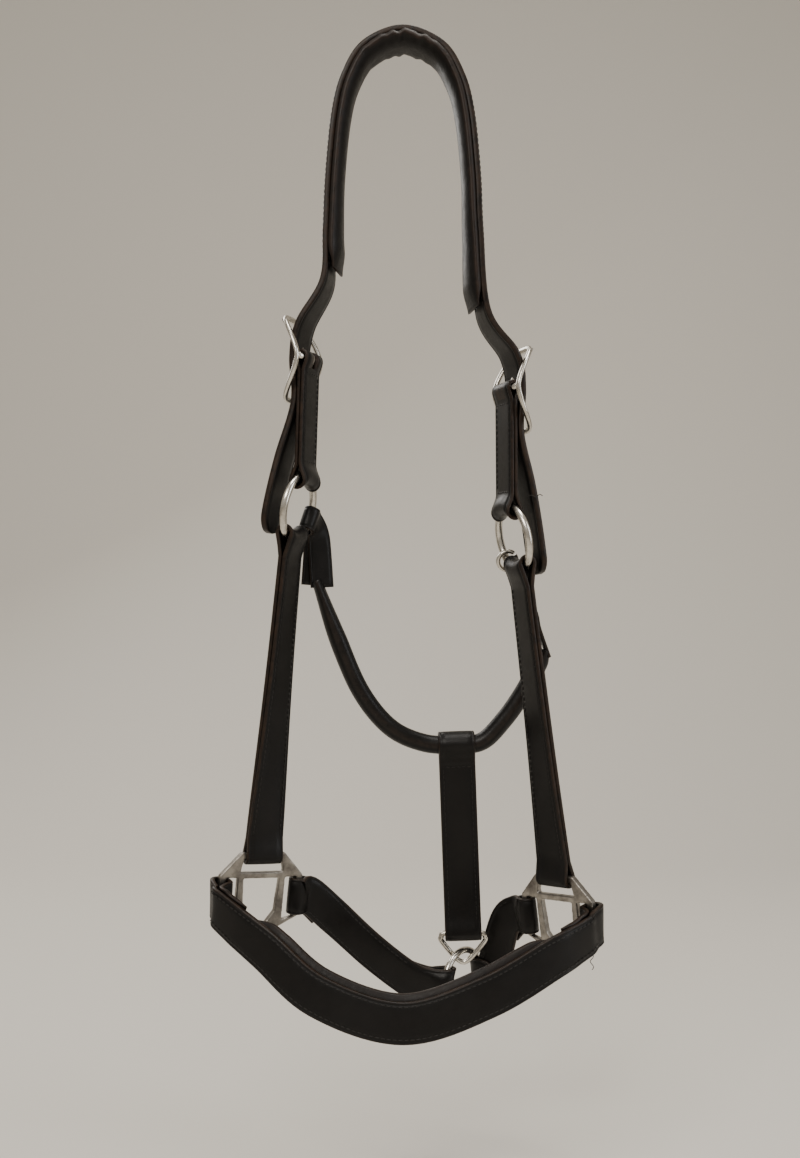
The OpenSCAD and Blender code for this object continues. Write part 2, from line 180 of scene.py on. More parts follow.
def placing(side, at, yaw, lean):
    """Matrix of a local frame: x outwards, y to the back, z up the strap."""
    flip = Matrix.Diagonal((SIGN[side], 1, 1, 1))
    return (flip @ Matrix.Translation(Vector(at)) @ Matrix.Rotation(math.radians(-lean), 4, "Y")
            @ Matrix.Rotation(math.radians(yaw), 4, "Z"))


def side_frame(side, at, yaw, lean):
    """Local frame on one side, at a point of the frame."""
    return placing(side, (abs(at.x), at.y, at.z), yaw, lean)


def ease(t):
    """0 to 1 with level ends."""
    t = min(max(t, 0), 1)
    return t * t * (3 - 2 * t)


# ---- sections ----
def strap_section(w, t):
    """Outline of a flat strap: rounded edges and a crease line along each edge."""
    a, b = w / 2, t / 2
    r = min(0.9 * MM, b * 0.7)
    dip = 0.28 * MM
    line = a - 1.7 * MM
    face = [(a - r, b), (line + 0.35 * MM, b + 0.02 * MM), (line, b - dip), (line - 0.4 * MM, b + 0.02 * MM),
            (a * 0.55, b + 0.08 * MM), (0, b + 0.12 * MM)]
    top = face + [(-x, y) for x, y in reversed(face[:-1])]
    edge = [(-a + r * 0.3, b - r * 0.3), (-a, b - r), (-a, 0), (-a, -b + r), (-a + r * 0.3, -b + r * 0.3)]
    half = top + edge
    return half + [(-x, -y) for x, y in half]


def round_section(d, n, flat=1.0):
    """Outline of a roll or a wire, d across one way and flat times d the other way."""
    return [(d / 2 * math.cos(2 * math.pi * k / n), flat * d / 2 * math.sin(2 * math.pi * k / n))
            for k in range(n)]


# ---- mesh makers ----
def new_object(name, verts, faces, wear=None):
    """A smooth-shaded mesh object; wear is a number from 0 to 1 for each vertex."""
    mesh = bpy.data.meshes.new(name)
    mesh.from_pydata([tuple(v) for v in verts], [], faces)
    mesh.validate()
    mesh.update()
    if wear:
        layer = mesh.color_attributes.new("wear", "FLOAT_COLOR", "POINT")
        for i, value in enumerate(wear):
            layer.data[i].color = (value, value, value, 1)
    for polygon in mesh.polygons:
        polygon.use_smooth = True
    obj = bpy.data.objects.new(name, mesh)
    bpy.context.scene.collection.objects.link(obj)
    return obj


def edge_wear(section):
    """How worn each point of a section is: most at the strap's edges, a little on its high faces."""
    half_w = max(abs(a) for a, _ in section)
    half_t = max(abs(b) for _, b in section)
    return [0.7 * ease((abs(a) / half_w - 0.9) / 0.1) + 0.3 * ease((abs(b) / half_t - 0.98) / 0.1)
            for a, b in section]


def skin(m, n, closed):
    """Faces between m sections of n points each, with end caps unless closed."""
    faces = []
    for i in range(m if closed else m - 1):
        k = (i + 1) % m
        for j in range(n):
            after = (j + 1) % n
            faces.append((i * n + j, i * n + after, k * n + after, k * n + j))
    if not closed:
        faces.append(tuple(reversed(range(n))))
        faces.append(tuple((m - 1) * n + j for j in range(n)))
    return faces


def sweep(name, path, wide, section, closed=False, widths=None, thicks=None, bend=None):
    """Sweeps a section along a path.

    wide is the width direction at each point, widths and thicks scale the section there, and bend
    gives a vector for a point's distance across the strap.
    """
    along = headings(path, closed)
    verts = []
    for i in range(len(path)):
        w = across(wide[i], along[i])
        nrm = along[i].cross(w)
        kw = widths[i] if widths else 1
        kt = thicks[i] if thicks else 1
        for a, b in section:
            p = path[i] + a * kw * w + b * kt * nrm
            if bend:
                p = p + bend(i, a * kw)
            verts.append(p)
    return new_object(name, verts, skin(len(path), len(section), closed), edge_wear(section) * len(path))


def tip_widths(path, length):
    """Width scales that round off both ends of a strap over a length."""
    far = distances(path)
    scales = []
    for d in far:
        left = 1 - min(d, far[-1] - d, length) / length
        scales.append(0.92 * math.sqrt(max(1 - left ** 2, 0.0)) + 0.08)
    return scales


def resample(path, step, *others):
    """path cut again into equal steps, with other lists of vectors alongside."""
    far = distances(path)
    count = max(int(round(far[-1] / step)), 2)
    lists = [[] for _ in range(1 + len(others))]
    j = 0
    for k in range(count + 1):
        d = far[-1] * k / count
        while j < len(far) - 2 and far[j + 1] < d:
            j += 1
        t = (d - far[j]) / max(far[j + 1] - far[j], 1e-9)
        for row, source in zip(lists, (path,) + others):
            row.append(source[j].lerp(source[j + 1], t))
    return lists


# Outline of one stitch, as (part of its length, part of its radius)
THREAD_RINGS = [(0, 0.35), (0.18, 0.9), (0.5, 1.1), (0.82, 0.9), (1, 0.35)]


def capsule(verts, faces, a, b, r, up):
    """Adds a short rounded thread between two points."""
    along = (b - a).normalized()
    side = across(up, along)
    third = along.cross(side)
    base = len(verts)
    for t, k in THREAD_RINGS:
        for x, y in round_section(2 * r * k, 6):
            verts.append(a.lerp(b, t) + x * side + y * third)
    faces.extend(tuple(base + v for v in face) for face in skin(len(THREAD_RINGS), 6, closed=False))


def stitch_rows(name, rows):
    """Lines of stitches. Each row is (path, wide, offset across, offset out)."""
    verts, faces = [], []
    for path, wide, off_a, off_b in rows:
        along = headings(path)
        line, normal = [], []
        for i, p in enumerate(path):
            w = across(wide[i], along[i])
            n = along[i].cross(w)
            line.append(p + off_a * w + off_b * n)
            normal.append(n)
        points, normals = resample(line, STITCH_STEP / 4, normal)
        for k in range(2, len(points) - 3, 4):
            capsule(verts, faces, points[k], points[k + 3], STITCH_D / 2, normals[k])
    return new_object(name, verts, faces)


def edge_rows(path, wide, w, t, inset=STITCH_IN):
    """Stitch rows along both edges of a strap, on both faces."""
    return [(path, wide, a * (w / 2 - inset), b * (t / 2 + STITCH_LIFT)) for a in (-1, 1) for b in (-1, 1)]


def tube(name, path, d, n, side=None):
    """Round bar along a path."""
    wide = [side or Vector((0.3, 1, 0.2))] * len(path)
    return sweep(name, path, wide, round_section(d, n))


def torus(name, matrix, r, wire):
    """Wire ring about the matrix's local x axis."""
    path = [matrix @ Vector((0, y, x)) for x, y in round_section(2 * r, 96)]
    normal = (matrix.to_3x3() @ Vector((1, 0, 0))).normalized()
    return sweep(name, path, [normal] * len(path), round_section(wire, 20), closed=True)


# ---- materials ----
def nodes_of(name):
    """A new material with its node tree and its main shader."""
    mat = bpy.data.materials.new(name)
    mat.use_nodes = True
    tree = mat.node_tree
    return mat, tree, tree.nodes["Principled BSDF"]


def add_node(tree, kind, inputs=None, **settings):
    """A node with its settings and plain input values."""
    node = tree.nodes.new(kind)
    for key, value in settings.items():
        setattr(node, key, value)
    for key, value in (inputs or {}).items():
        node.inputs[key].default_value = value
    return node


def ramp(tree, source, stops):
    """Colour ramp fed by source."""
    node = add_node(tree, "ShaderNodeValToRGB")
    node.color_ramp.elements[0].position = stops[0][0]
    node.color_ramp.elements[0].color = stops[0][1]
    node.color_ramp.elements[1].position = stops[-1][0]
    node.color_ramp.elements[1].color = stops[-1][1]
    for at, colour in stops[1:-1]:
        node.color_ramp.elements.new(at).color = colour
    tree.links.new(source, node.inputs["Fac"])
    return node


def grey(v):
    """A grey as RGBA."""
    return (v, v, v, 1)


def leather(name, base, edge, gloss, grain=1.0, wrinkle=0.0):
    """Black bridle leather: pores, soft mottling, worn and browned edges, polished high spots."""
    mat, tree, shader = nodes_of(name)
    link = tree.links.new
    coords = add_node(tree, "ShaderNodeTexCoord").outputs["Object"]
    pores = add_node(tree, "ShaderNodeTexVoronoi", {"Scale": 1500}, feature="F1")
    fine = add_node(tree, "ShaderNodeTexNoise", {"Scale": 900, "Detail": 4, "Roughness": 0.6})
    cloud = add_node(tree, "ShaderNodeTexNoise", {"Scale": 38, "Detail": 5, "Roughness": 0.6})
    scuff = add_node(tree, "ShaderNodeTexNoise",
                     {"Scale": 150, "Detail": 6, "Roughness": 0.7, "Distortion": 0.6})
    for node in (pores, fine, cloud, scuff):
        link(coords, node.inputs["Vector"])
    wear = add_node(tree, "ShaderNodeVertexColor", layer_name="wear")
    broken = add_node(tree, "ShaderNodeMath", operation="MULTIPLY")
    link(wear.outputs["Color"], broken.inputs[0])
    scuffed = ramp(tree, scuff.outputs["Fac"], [(0.35, grey(0.15)), (0.62, grey(1))])
    link(scuffed.outputs["Color"], broken.inputs[1])
    tone = ramp(tree, cloud.outputs["Fac"],
                [(0.3, tuple(c * 0.72 for c in base) + (1,)), (0.7, tuple(c * 1.3 for c in base) + (1,))])
    mixed = add_node(tree, "ShaderNodeMix", data_type="RGBA")
    link(broken.outputs[0], mixed.inputs["Factor"])
    link(tone.outputs["Color"], mixed.inputs[6])
    mixed.inputs[7].default_value = edge + (1,)
    link(mixed.outputs[2], shader.inputs["Base Color"])
    rough = ramp(tree, scuff.outputs["Fac"], [(0.3, grey(gloss - 0.07)), (0.7, grey(gloss + 0.12))])
    link(rough.outputs["Color"], shader.inputs["Roughness"])
    shader.inputs["Specular IOR Level"].default_value = 0.2
    shader.inputs["Coat Weight"].default_value = 0.03
    shader.inputs["Coat Roughness"].default_value = 0.3
    shader.inputs["Sheen Weight"].default_value = 0.0
    height = add_node(tree, "ShaderNodeMath", operation="ADD")
    link(pores.outputs["Distance"], height.inputs[0])
    link(fine.outputs["Fac"], height.inputs[1])
    bump = add_node(tree, "ShaderNodeBump", {"Strength": 0.22 * grain, "Distance": 0.0002})
    link(height.outputs[0], bump.inputs["Height"])
    last = bump
    if wrinkle:
        folds = add_node(tree, "ShaderNodeTexNoise", {"Scale": 170, "Detail": 3, "Distortion": 1.2})
        link(coords, folds.inputs["Vector"])
        last = add_node(tree, "ShaderNodeBump", {"Strength": wrinkle, "Distance": 0.0008})
        link(folds.outputs["Fac"], last.inputs["Height"])
        link(bump.outputs["Normal"], last.inputs["Normal"])
    link(last.outputs["Normal"], shader.inputs["Normal"])
    return mat


def metal(name, base, dark, rough, pits):
    """Nickel plate: slightly clouded, finely scratched, dull in its low spots."""
    mat, tree, shader = nodes_of(name)
    link = tree.links.new
    coords = add_node(tree, "ShaderNodeTexCoord").outputs["Object"]
    cloud = add_node(tree, "ShaderNodeTexNoise", {"Scale": 90, "Detail": 6, "Roughness": 0.65})
    fine = add_node(tree, "ShaderNodeTexNoise", {"Scale": 1400, "Detail": 3})
    for node in (cloud, fine):
        link(coords, node.inputs["Vector"])
    tone = ramp(tree, cloud.outputs["Fac"], [(0.32, dark + (1,)), (0.6, base + (1,))])
    link(tone.outputs["Color"], shader.inputs["Base Color"])
    shader.inputs["Metallic"].default_value = 1
    dull = ramp(tree, cloud.outputs["Fac"], [(0.35, grey(rough + 0.16)), (0.65, grey(rough))])
    link(dull.outputs["Color"], shader.inputs["Roughness"])
    bump = add_node(tree, "ShaderNodeBump", {"Strength": pits, "Distance": 0.0002})
    link(fine.outputs["Fac"], bump.inputs["Height"])
    link(bump.outputs["Normal"], shader.inputs["Normal"])
    return mat


def thread_material():
    """Waxed black thread with a faint twist."""
    mat, tree, shader = nodes_of("waxed_thread")
    link = tree.links.new
    coords = add_node(tree, "ShaderNodeTexCoord").outputs["Object"]
    twist = add_node(tree, "ShaderNodeTexNoise", {"Scale": 1800, "Detail": 2})
    link(coords, twist.inputs["Vector"])
    tone = ramp(tree, twist.outputs["Fac"], [(0.3, (0.005, 0.0045, 0.004, 1)), (0.7, (0.016, 0.014, 0.012, 1))])
    link(tone.outputs["Color"], shader.inputs["Base Color"])
    shader.inputs["Roughness"].default_value = 0.55
    shader.inputs["Specular IOR Level"].default_value = 0.3
    bump = add_node(tree, "ShaderNodeBump", {"Strength": 0.4, "Distance": 0.0001})
    link(twist.outputs["Fac"], bump.inputs["Height"])
    link(bump.outputs["Normal"], shader.inputs["Normal"])
    return mat


BLACK = leather("black_leather", (0.0048, 0.0042, 0.0040), (0.034, 0.019, 0.011), 0.36)
LINING = leather("lining_leather", (0.0056, 0.0045, 0.0040), (0.030, 0.017, 0.011), 0.44, 0.8, 0.35)
ROLLED = leather("rolled_leather", (0.0046, 0.0041, 0.0038), (0.022, 0.015, 0.011), 0.34, 0.9, 0.12)
BRIGHT = metal("bright_nickel", (0.72, 0.69, 0.63), (0.42, 0.39, 0.34), 0.15, 0.05)
# Cast nickel for the squares, tongues and snap parts: a duller plate, with its colours also darkened as painted
# shade.
SHADED_CAST = metal("cast_nickel", (0.36, 0.335, 0.30), (0.14, 0.125, 0.11), 0.3, 0.3)
THREAD = thread_material()


def finish_piece(obj, body, mat, slot, *nodes):
    """Gives a piece its material and body, and hides the CAD nodes that it stands for. slot is not used."""
    obj.data.materials.clear()
    obj.data.materials.append(mat)
    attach(obj, body)
    if nodes:
        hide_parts(*nodes)
    return obj


# ---- doubled straps folded round bars ----
RING_BEND = 14 * MM              # how far from a ring a strap still follows its curve


def fold_outline(r_top, r_low, drop, single, reach=9 * MM):
    """Belt-like outline round two bars a drop apart, pinched together between them.

    Points are (out, up) with the upper bar at 0; each is the middle of one layer of leather.
    """
    big, small = r_top + single / 2, r_low + single / 2
    rest = single / 2 + LAYER_GAP
    half = []
    for k in range(9):
        q = math.pi / 2 * k / 8
        half.append((big * math.sin(q), big * math.cos(q)))
    steps = 36
    for k in range(1, steps):
        d = drop * k / steps
        out = rest
        out = max(out, rest + (big - rest) * (1 - ease(d / reach)))
        out = max(out, rest + (small - rest) * (1 - ease((drop - d) / reach)))
        half.append((out, -d))
    for k in range(9):
        q = math.pi / 2 * k / 8
        half.append((small * math.cos(q), -drop - small * math.sin(q)))
    return half + [(-x, z) for x, z in reversed(half[1:-1])]


def folded_strap(name, matrix, outline, w, single, drop=0, ring_r=None):
    """Strap of one leather layer swept round an outline in the matrix's x and z, its width along y.

    With ring_r, its lower fold hangs in a ring of that radius and follows its curve.
    """
    path = [matrix @ Vector((x, 0, z)) for x, z in outline]
    wide = [(matrix.to_3x3() @ BACK).normalized()] * len(path)
    up = (matrix.to_3x3() @ UP).normalized()

    def bend(i, a):
        """Lets the strap's edges follow the ring it hangs in."""
        k = 1 - ease((outline[i][1] + drop) / RING_BEND)
        return -k * (ring_r - math.sqrt(ring_r ** 2 - a * a)) * up
    return sweep(name, path, wide, strap_section(w, single), closed=True, bend=bend if ring_r else None)


def doubled_rows(matrix, z_from, z_to, w, single):
    """Stitch rows down both edges of a doubled strap and across it at both heights."""
    t = 2 * (single + LAYER_GAP)
    path = [matrix @ Vector((0, 0, z_from + (z_to - z_from) * k / 20)) for k in range(21)]
    rows = edge_rows(path, [(matrix.to_3x3() @ BACK).normalized()] * len(path), w, t)
    for z in (z_from, z_to):
        path = [matrix @ Vector((0, y, z)) for y in (-w / 2 + STITCH_IN, 0, w / 2 - STITCH_IN)]
        wide = [(matrix.to_3x3() @ UP).normalized()] * 3
        rows += [(path, wide, 0, b * (t / 2 + STITCH_LIFT)) for b in (-1, 1)]
    return rows


def ring_point(side, turn, out=0.0):
    """Point of a cheek ring, turn degrees from its lowest point towards the back, out past the wire."""
    q = math.radians(turn)
    r = RING_R + out
    m = side_frame(side, RING[side], SIDE_YAW, RING_LEAN)
    return m @ Vector((0, r * math.sin(q), -r * math.cos(q)))


NAMES = ("left", "right")
RING_TOP = [ring_point(s, 180) for s in (LEFT, RIGHT)]
RING_FOOT = [ring_point(s, 0) for s in (LEFT, RIGHT)]


# ---- metal ----
def buckle_frame(side):
    """Oval frame, bowed to clear the strap, with a middle bar."""
    m = side_frame(side, BUCKLE[side], SIDE_YAW, 0)
    loop = []
    for k in range(96):
        q = 2 * math.pi * k / 96
        c, z = math.cos(q), math.sin(q)
        loop.append(m @ Vector((BUCKLE_BOW * abs(z) ** 1.5, BUCKLE_HALF_W * math.copysign(abs(c) ** 0.6, c),
                                BUCKLE_HALF * z)))
    out = (m.to_3x3() @ Vector((1, 0, 0))).normalized()
    section = round_section(FRAME_WIRE, 18, FRAME_WIDE)
    frame_bar = sweep(NAMES[side] + "_buckle_metal", loop, [out] * len(loop), section, closed=True)
    ends = [m @ Vector((0, y, 0)) for y in (-BUCKLE_HALF_W, -5 * MM, 0, 5 * MM, BUCKLE_HALF_W)]
    bar = tube("bar", ends, BUCKLE_BAR, 18, side=out)
    join(frame_bar, bar)
    finish_piece(frame_bar, NAMES[side] + "_buckle", BRIGHT, "bright_nickel", NAMES[side] + "_buckle_frame")


def join(first, *others):
    """Joins objects into the first one."""
    bpy.ops.object.select_all(action="DESELECT")
    for obj in (first,) + others:
        obj.select_set(True)
    bpy.context.view_layer.objects.active = first
    bpy.ops.object.join()
    return first


# Middle of the prong from the bar to its tip, as (out, up) in millimetres
TONGUE_ROUTE = [(2.6, 1), (3.9, 5), (11.2, 16.5), (17.8, 26.6), (18.6, 28.6)]


def buckle_tongue(side):
    """Tongue: an eye round the bar and a flattened, tapering prong over the frame's end."""
    m = side_frame(side, BUCKLE[side], SIDE_YAW, 0)
    wide = (m.to_3x3() @ BACK).normalized()
    eye = [m @ Vector((x, 0, z)) for x, z in round_section(6 * MM, 28)]
    section = [(1.15 * a, 0.62 * b) for a, b in round_section(3.6 * MM, 14)]
    loop = sweep(NAMES[side] + "_tongue", eye, [wide] * len(eye), section, closed=True)
    path = smooth([m @ mm(x, 0, z) for x, z in TONGUE_ROUTE], 6)
    scale = [1.1 - 0.35 * i / (len(path) - 1) for i in range(len(path))]
    prong = sweep("prong", path, [wide] * len(path), round_section(3.2 * MM, 14, 0.8),
                  widths=[s * (1 if i < len(path) - 1 else 0.5) for i, s in enumerate(scale)], thicks=scale)
    join(loop, prong)
    finish_piece(loop, NAMES[side] + "_tongue", SHADED_CAST, "cast_nickel", NAMES[side] + "_buckle_tongue")


def cheek_ring(side):
    """Round cheek ring."""
    m = side_frame(side, RING[side], SIDE_YAW, RING_LEAN)
    ring = torus(NAMES[side] + "_ring", m, RING_R, RING_WIRE)
    finish_piece(ring, NAMES[side] + "_ring", BRIGHT, "bright_nickel", NAMES[side] + "_cheek_ring")


def lead_ring():
    """Ring under the chin for the lead rope."""
    m = Matrix.Translation(LEAD) @ Matrix.Rotation(math.radians(LEAD_TURN + 90), 4, "Z")
    ring = torus("chin_lead_ring", m, LEAD_R, LEAD_WIRE)
    finish_piece(ring, "chin_ring", BRIGHT, "bright_nickel", "lead_ring")


def jowl_link():
    """Rounded three-cornered link between jowl strap and lead ring."""
    corners = [(-13, -0.2), (0, 0), (13, -0.2), (15.2, -2.6), (14.5, -6), (3.5, -18.5), (-3.5, -18.5),
               (-14.5, -6), (-15.2, -2.6)]
    path = smooth([LINK + mm(x, 0, z) for x, z in corners], 10, closed=True)
    link = sweep("jowl_strap_link", path, [BACK] * len(path), round_section(3.6 * MM, 18), closed=True)
    finish_piece(link, "link", BRIGHT, "bright_nickel", "jowl_link")


def cast_copy(node, name, body, mat, slot, voxel, passes):
    """A cast or forged piece: the CAD shape with its corners worn round."""
    source = frame["nodes"][node]
    obj = bpy.data.objects.new(name, source.data.copy())
    bpy.context.scene.collection.objects.link(obj)
    remesh = obj.modifiers.new("remesh", "REMESH")
    remesh.mode = "VOXEL"
    remesh.voxel_size = voxel
    round_off = obj.modifiers.new("round", "SMOOTH")
    round_off.factor = 0.5
    round_off.iterations = passes
    apply_modifiers(obj)
    for polygon in obj.data.polygons:
        polygon.use_smooth = True
    return finish_piece(obj, body, mat, slot, node)


def apply_modifiers(obj):
    """Turns an object's modifiers into plain mesh."""
    graph = bpy.context.evaluated_depsgraph_get()
    graph.update()
    mesh = bpy.data.meshes.new_from_object(obj.evaluated_get(graph))
    old = obj.data
    obj.modifiers.clear()
    obj.data = mesh
    bpy.data.meshes.remove(old)


for side in (LEFT, RIGHT):
    buckle_frame(side)
    buckle_tongue(side)
    cheek_ring(side)
    cast_copy(NAMES[side] + "_square", NAMES[side] + "_cast_square", "face", SHADED_CAST, "cast_nickel", 0.55 * MM, 5)
lead_ring()
jowl_link()
cast_copy("snap_body", "throat_snap", "throat", BRIGHT, "bright_nickel", 0.4 * MM, 3)
cast_copy("snap_gate", "throat_snap_gate", "gate", SHADED_CAST, "cast_nickel", 0.25 * MM, 2)
cast_copy("snap_pin", "throat_snap_pin", "throat", SHADED_CAST, "cast_nickel", 0.15 * MM, 1)


# ---- crown ----
def crown_side(side):
    """Route of the crown strap from the buckle's bar up to the top, on one side."""
    b = BUCKLE[side] / MM
    s = SIGN[side]
    out = abs(b.x)
    return [mm(s * (out + BILLET_OUT / MM), 2.6, b.z), mm(s * (out + 2.6), 1, b.z + 22),
            mm(s * (out / 2 + 19), 0, b.z + 50), mm(s * 49.5, 0, -120), mm(s * 48.5, 0, -84),
            mm(s * 44.5, 0, -44), mm(s * 38, 0, -19), mm(s * 25, 0, 1)]


LEFT_BILLET = [mm(-88, -2, -318), mm(-85, -1, -298), mm(-78, 1, -268), mm(-67.6, 2.2, -232)]
RIGHT_BILLET = [mm(90, 6, -345), mm(86, 5, -315), mm(80.5, 2, -285), mm(73.3, 2.2, -252)]
CROWN_TOP = mm(0, 0, 10.7)
CROWN_ROUTE = (LEFT_BILLET + crown_side(LEFT) + [CROWN_TOP] + crown_side(RIGHT)[::-1] + RIGHT_BILLET[::-1])
CROWN_STEPS = 12
LINED = (6 * CROWN_STEPS + 3, 18 * CROWN_STEPS)      # steps of the route between which the crown is lined
PAD_STEP = 1.6 * MM
CREASED = 26 * MM                                    # how far from the top the lining is creased


def side_turns(side):
    """Width directions down one side of the crown."""
    return [turned(side, a) for a in (SIDE_YAW, SIDE_YAW, 12, 4, 0, 0, 0, 0)]


CROWN_WIDE = ([turned(LEFT, SIDE_YAW)] * 4 + side_turns(LEFT) + [BACK] + side_turns(RIGHT)[::-1]
              + [turned(RIGHT, SIDE_YAW)] * 4)


def crown():
    """Crown strap with its two billets, padded lining and stitching."""
    path = smooth(CROWN_ROUTE, CROWN_STEPS)
    wide = smooth(CROWN_WIDE, CROWN_STEPS)
    strap = sweep("crown_leather", path, wide, strap_section(STRAP_W, STRAP_T),
                  widths=tip_widths(path, length=12 * MM))
    finish_piece(strap, "crown", BLACK, "black_leather", "crown_strap")
    part, part_w = resample(path[LINED[0]:LINED[1]], PAD_STEP, wide[LINED[0]:LINED[1]])
    along = headings(part)
    off = STRAP_T / 2 + 0.25 * MM + CROWN_PAD_T / 2
    inner = [p + off * Vector((t.z, 0, -t.x)) for p, t in zip(part, along)]
    n = len(inner)
    thick = [0.35 + 0.65 * ease(min(i, n - 1 - i) / 9) for i in range(n)]
    width = [0.86 + 0.14 * ease(min(i, n - 1 - i) / 6) for i in range(n)]
    section = pad_section(CROWN_PAD_W, CROWN_PAD_T)
    rng = random.Random(7)
    phases = [rng.uniform(0, 6.28) for _ in range(6)]
    top = min(range(n), key=lambda i: abs(inner[i].x))

    def puff(i, a):
        """Creases of the lining where the crown bends most."""
        k = math.exp(-((i - top) * PAD_STEP / CREASED) ** 2)
        wave = sum(math.sin(i * f + phases[j]) for j, f in enumerate((0.55, 0.83, 1.21)))
        edge = (abs(a) / (CROWN_PAD_W / 2)) ** 2
        return UP * (0.00042 * k * wave * (0.4 + edge))
    pad = sweep("crown_pad", inner, part_w, section, widths=width, thicks=thick, bend=puff)
    finish_piece(pad, "crown", LINING, "lining_leather", "crown_lining")
    stitches = stitch_rows("crown_stitches", edge_rows(part, part_w, STRAP_W, STRAP_T))
    finish_piece(stitches, "crown", THREAD, "black_leather")


def pad_section(w, t):
    """Outline of a padded lining: flat against the strap, full underneath, thin welts at its edges."""
    a, b = w / 2, t / 2
    pts = []
    for k in range(25):
        q = math.pi * k / 24
        x = a * math.cos(q)
        full = 1 - (abs(x) / a) ** 3.2
        pts.append((x, -b * 0.25 + b * 1.25 * full))
    pts = [(x, -y) for x, y in pts]
    flat = [(-a, b * 0.55), (-a * 0.93, b), (-a * 0.5, b), (0, b), (a * 0.5, b), (a * 0.93, b), (a, b * 0.55)]
    return list(reversed(pts + flat))


crown()


# ---- chapes and cheekpieces ----
def chape(side):
    """Doubled strap holding buckle and cheek ring."""
    at, top = BUCKLE[side], RING_TOP[side]
    drop = (at - top).z
    shift = abs(top.x) - abs(at.x)
    lean = math.degrees(math.atan(shift / drop))
    m = side_frame(side, at, SIDE_YAW, lean)
    outline = fold_outline(BUCKLE_BAR / 2 + 0.5 * MM, RING_WIRE / 2 + RING_CLEAR, drop, CHAPE_LAYER)
    strap = folded_strap(NAMES[side] + "_chape_leather", m, outline, STRAP_W, CHAPE_LAYER, drop, RING_R)
    cutter_slot(strap, m)
    finish_piece(strap, "crown", BLACK, "black_leather", NAMES[side] + "_chape")
    rows = doubled_rows(m, -10 * MM, -drop + 9 * MM, STRAP_W, CHAPE_LAYER)
    finish_piece(stitch_rows(NAMES[side] + "_chape_stitches", rows), "crown", THREAD, "black_leather")


def cutter_slot(obj, matrix):
    """Cuts the oblong slot that lets the buckle's tongue through a fold."""
    verts = [matrix @ mm(x, y, z) for x in (-9, 9) for z in (-6.5, 8) for y in (-3.2, 3.2)]
    faces = [(0, 1, 3, 2), (4, 6, 7, 5), (0, 4, 5, 1), (2, 3, 7, 6), (0, 2, 6, 4), (1, 5, 7, 3)]
    box = new_object("cutter", verts, faces)
    cut = obj.modifiers.new("slot", "BOOLEAN")
    cut.operation = "DIFFERENCE"
    cut.object = box
    cut.solver = "EXACT"
    apply_modifiers(obj)
    bpy.data.objects.remove(box)


def cheek_lean(side):
    """Lean of a cheekpiece, in degrees."""
    a, b = RING_FOOT[side], SQUARE[side]
    return math.degrees(math.atan((abs(b.x) - abs(a.x)) / (a.z - b.z)))


def cheekpiece(side):
    """Doubled strap from cheek ring to square, twisting on its way down."""
    a, b = RING_FOOT[side], SQUARE[side]
    drop = (a - b).length
    outline = fold_outline(RING_WIRE / 2 + RING_CLEAR, SQUARE_T / 2 + 0.9 * MM, drop, CHEEK_LAYER, 11 * MM)
    upright = (a - b).normalized()

    def twisted(z):
        """Width direction at a height below the ring."""
        t = min(max((-z - 6 * MM) / (drop - 14 * MM), 0), 1)
        yaw = SIDE_YAW + (SQUARE_YAW[side] - SIDE_YAW) * (0.35 * t + 0.65 * t * t * t)
        return across(turned(side, yaw), upright)
    path, wide = [], []
    for x, z in outline:
        w = twisted(z)
        out = upright.cross(w) * (-SIGN[side])
        path.append(a + upright * z + out * x)
        wide.append(w)

    def bend(i, c):
        """Lets the strap's edges follow the cheek ring."""
        k = 1 - ease(-outline[i][1] / RING_BEND)
        return upright * k * (RING_R - math.sqrt(RING_R ** 2 - c * c))
    strap = sweep_belt(NAMES[side] + "_cheek_leather", path, wide, strap_section(STRAP_W, CHEEK_LAYER), bend)
    finish_piece(strap, "face", BLACK, "black_leather", NAMES[side] + "_cheekpiece")
    heights = [-11 * MM - (drop - 23 * MM) * k / 60 for k in range(61)]
    rows = edge_rows([a + upright * z for z in heights], [twisted(z) for z in heights], STRAP_W,
                     2 * (CHEEK_LAYER + STITCH_LIFT))
    finish_piece(stitch_rows(NAMES[side] + "_cheek_stitches", rows), "face", THREAD, "black_leather")


def sweep_belt(name, path, wide, section, bend):
    """Closed sweep whose width directions are kept as they are given."""
    along = headings(path, closed=True)
    verts = []
    for i in range(len(path)):
        nrm = across(along[i], wide[i]).cross(wide[i])
        verts += [path[i] + a * wide[i] + b * nrm + bend(i, a) for a, b in section]
    return new_object(name, verts, skin(len(path), len(section), True), edge_wear(section) * len(path))


for side in (LEFT, RIGHT):
    chape(side)
    cheekpiece(side)


# ---- noseband and rear noseband ----
BAR_MID = SQUARE_HALF - SQUARE_BAR / 2
WRAP_Z = -27.5 * MM
CHIN_W = 24 * MM
CHIN_T = 2.9 * MM
TURNED_T = 3 * MM                # noseband where its end is turned back


def square_frame(side):
    """Local frame of a halter square."""
    return side_frame(side, SQUARE[side], SQUARE_YAW[side], cheek_lean(side))


def near_square(side, edge, points):
    """Points given as (x, beyond the side bar, z above the bar's middle) in millimetres, near a side bar."""
    m = square_frame(side)
    return [m @ Vector((x * MM, edge * (BAR_MID + y * MM), WRAP_Z + z * MM)) for x, y, z in points]


NOSE_FRONT = mm(0, -66, -617)
NOSE_WRAP = [(-5, -4.9, -0.5), (-2.5, -5, 0), (0.5, -4.8, 0), (3.8, -3.2, 0), (4.9, 0, 0), (3.8, 3.4, 0),
             (0.5, 5.1, -0.3), (-6, 5.3, -2), (-15, 5.2, -4.5)]
NOSE_BEND_Z = (-579, -584)       # height of the strap at its bend beside the front, in millimetres
NOSE_TAIL = (34, 28, 22, 16, 9)  # how far along the strap the turned end is laid, in millimetres
